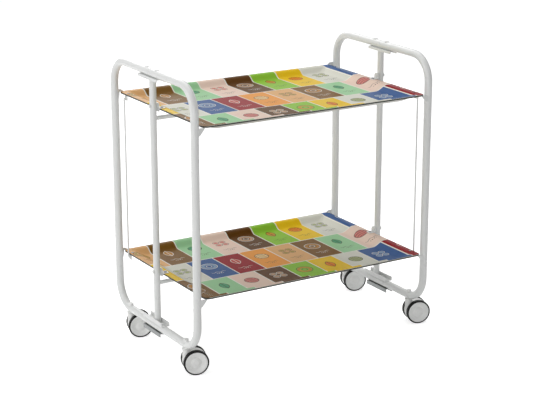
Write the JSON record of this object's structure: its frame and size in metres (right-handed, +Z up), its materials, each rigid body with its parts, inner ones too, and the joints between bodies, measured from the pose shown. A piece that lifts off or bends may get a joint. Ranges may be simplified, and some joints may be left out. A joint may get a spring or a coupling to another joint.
{
  "type": "folding serving trolley",
  "caption": "Folding serving trolley: linked tilting trays between hinged tube side frames, on swivelling twin-wheel casters.",
  "frame": {"origin": "on the floor, in the middle of the trolley's whole length and depth; its casters trail 19 mm to the right, so the middle of its frames and trays lies 19 mm to the left, at x = -0.0191", "axes": "+X along the trays to the right, +Y from the near long side to the far one, +Z up"},
  "size_m": [0.7028, 0.416, 0.6948],
  "materials": {
    "white_powder_coat": "white gloss powder coat",
    "bare_steel": "zinc-plated steel",
    "white_plastic": "moulded white plastic",
    "black_tyre": "smooth black tyre",
    "printed_laminate": "glossy printed laminate over pressed wood fibre"
  },
  "bodies": {
    "frame": {"left_near_leaf": "white_powder_coat", "left_far_leaf": "white_powder_coat", "left_post": "white_powder_coat", "left_top_channel": "white_powder_coat", "left_bottom_channel": "white_powder_coat", "left_tie_channel": "bare_steel", "right_near_leaf": "white_powder_coat", "right_far_leaf": "white_powder_coat", "right_post": "white_powder_coat", "right_top_channel": "white_powder_coat", "right_bottom_channel": "white_powder_coat", "right_tie_channel": "bare_steel", "hinge_bolts": "white_powder_coat", "tube_end_plugs": "white_plastic", "near_corner_gussets": "white_powder_coat", "far_corner_clips": "white_powder_coat", "tray_pivot_pins": "white_powder_coat", "caster_sockets": "white_plastic"},
    "upper_tray": {"upper_tray_panel": "printed_laminate", "upper_pivot_lugs": "white_powder_coat", "upper_tray_bar": "white_powder_coat", "upper_bar_saddles": "white_plastic", "upper_rod_brackets": "white_powder_coat", "upper_tray_fasteners": "bare_steel"},
    "lower_tray": {"lower_tray_panel": "printed_laminate", "lower_pivot_lugs": "white_powder_coat", "lower_tray_bar": "white_powder_coat", "lower_bar_saddles": "white_plastic", "lower_rod_brackets": "white_powder_coat", "lower_tray_fasteners": "bare_steel"},
    "left_link": {"left_link_rod": "white_powder_coat"},
    "right_link": {"right_link_rod": "white_powder_coat"},
    "left_near_caster_fork": {"left_near_caster_hood": "white_plastic", "left_near_caster_stem": "bare_steel", "left_near_caster_axle": "bare_steel"},
    "left_near_caster_inner_wheel": {"left_near_caster_inner_hub": "white_plastic", "left_near_caster_inner_tyre": "black_tyre"},
    "left_near_caster_outer_wheel": {"left_near_caster_outer_hub": "white_plastic", "left_near_caster_outer_tyre": "black_tyre"},
    "left_far_caster_fork": {"left_far_caster_hood": "white_plastic", "left_far_caster_stem": "bare_steel", "left_far_caster_axle": "bare_steel"},
    "left_far_caster_inner_wheel": {"left_far_caster_inner_hub": "white_plastic", "left_far_caster_inner_tyre": "black_tyre"},
    "left_far_caster_outer_wheel": {"left_far_caster_outer_hub": "white_plastic", "left_far_caster_outer_tyre": "black_tyre"},
    "right_near_caster_fork": {"right_near_caster_hood": "white_plastic", "right_near_caster_stem": "bare_steel", "right_near_caster_axle": "bare_steel"},
    "right_near_caster_inner_wheel": {"right_near_caster_inner_hub": "white_plastic", "right_near_caster_inner_tyre": "black_tyre"},
    "right_near_caster_outer_wheel": {"right_near_caster_outer_hub": "white_plastic", "right_near_caster_outer_tyre": "black_tyre"},
    "right_far_caster_fork": {"right_far_caster_hood": "white_plastic", "right_far_caster_stem": "bare_steel", "right_far_caster_axle": "bare_steel"},
    "right_far_caster_inner_wheel": {"right_far_caster_inner_hub": "white_plastic", "right_far_caster_inner_tyre": "black_tyre"},
    "right_far_caster_outer_wheel": {"right_far_caster_outer_hub": "white_plastic", "right_far_caster_outer_tyre": "black_tyre"}
  },
  "joints": [
    {"name": "upper_tray_tilt", "type": "hinge", "parent": "frame", "child": "upper_tray", "pos_m": [-0.01913, 0, 0.606], "axis": [-1, 0, 0], "range_deg": [0, 40]},
    {"name": "lower_tray_tilt", "type": "hinge", "parent": "frame", "child": "lower_tray", "pos_m": [-0.01913, 0, 0.208], "axis": [-1, 0, 0], "range_deg": [0, 40]},
    {"name": "left_link_pivot", "type": "hinge", "parent": "upper_tray", "child": "left_link", "pos_m": [-0.32333, 0.172, 0.5895], "axis": [-1, 0, 0], "range_deg": [-40, 0]},
    {"name": "right_link_pivot", "type": "hinge", "parent": "upper_tray", "child": "right_link", "pos_m": [0.28507, -0.172, 0.5895], "axis": [-1, 0, 0], "range_deg": [-40, 0]},
    {"name": "left_near_caster_swivel", "type": "hinge", "parent": "frame", "child": "left_near_caster_fork", "pos_m": [-0.33613, -0.14, 0.05], "axis": [0, 0, 1], "continuous": true},
    {"name": "left_near_caster_inner_spin", "type": "hinge", "parent": "left_near_caster_fork", "child": "left_near_caster_inner_wheel", "pos_m": [-0.317, -0.14585, 0.03], "axis": [0.2924, 0.9563, 0], "continuous": true},
    {"name": "left_near_caster_outer_spin", "type": "hinge", "parent": "left_near_caster_fork", "child": "left_near_caster_outer_wheel", "pos_m": [-0.317, -0.14585, 0.03], "axis": [0.2924, 0.9563, 0], "continuous": true},
    {"name": "left_far_caster_swivel", "type": "hinge", "parent": "frame", "child": "left_far_caster_fork", "pos_m": [-0.33613, 0.14, 0.05], "axis": [0, 0, 1], "continuous": true},
    {"name": "left_far_caster_inner_spin", "type": "hinge", "parent": "left_far_caster_fork", "child": "left_far_caster_inner_wheel", "pos_m": [-0.317, 0.13415, 0.03], "axis": [0.2924, 0.9563, 0], "continuous": true},
    {"name": "left_far_caster_outer_spin", "type": "hinge", "parent": "left_far_caster_fork", "child": "left_far_caster_outer_wheel", "pos_m": [-0.317, 0.13415, 0.03], "axis": [0.2924, 0.9563, 0], "continuous": true},
    {"name": "right_near_caster_swivel", "type": "hinge", "parent": "frame", "child": "right_near_caster_fork", "pos_m": [0.29787, -0.14, 0.05], "axis": [0, 0, 1], "continuous": true},
    {"name": "right_near_caster_inner_spin", "type": "hinge", "parent": "right_near_caster_fork", "child": "right_near_caster_inner_wheel", "pos_m": [0.317, -0.14585, 0.03], "axis": [0.2924, 0.9563, 0], "continuous": true},
    {"name": "right_near_caster_outer_spin", "type": "hinge", "parent": "right_near_caster_fork", "child": "right_near_caster_outer_wheel", "pos_m": [0.317, -0.14585, 0.03], "axis": [0.2924, 0.9563, 0], "continuous": true},
    {"name": "right_far_caster_swivel", "type": "hinge", "parent": "frame", "child": "right_far_caster_fork", "pos_m": [0.29787, 0.14, 0.05], "axis": [0, 0, 1], "continuous": true},
    {"name": "right_far_caster_inner_spin", "type": "hinge", "parent": "right_far_caster_fork", "child": "right_far_caster_inner_wheel", "pos_m": [0.317, 0.13415, 0.03], "axis": [0.2924, 0.9563, 0], "continuous": true},
    {"name": "right_far_caster_outer_spin", "type": "hinge", "parent": "right_far_caster_fork", "child": "right_far_caster_outer_wheel", "pos_m": [0.317, 0.13415, 0.03], "axis": [0.2924, 0.9563, 0], "continuous": true}
  ],
  "couplings": [
    {"joint": "lower_tray_tilt", "follows": "upper_tray_tilt", "ratio": 1},
    {"joint": "left_link_pivot", "follows": "upper_tray_tilt", "ratio": -1},
    {"joint": "right_link_pivot", "follows": "upper_tray_tilt", "ratio": -1}
  ]
}
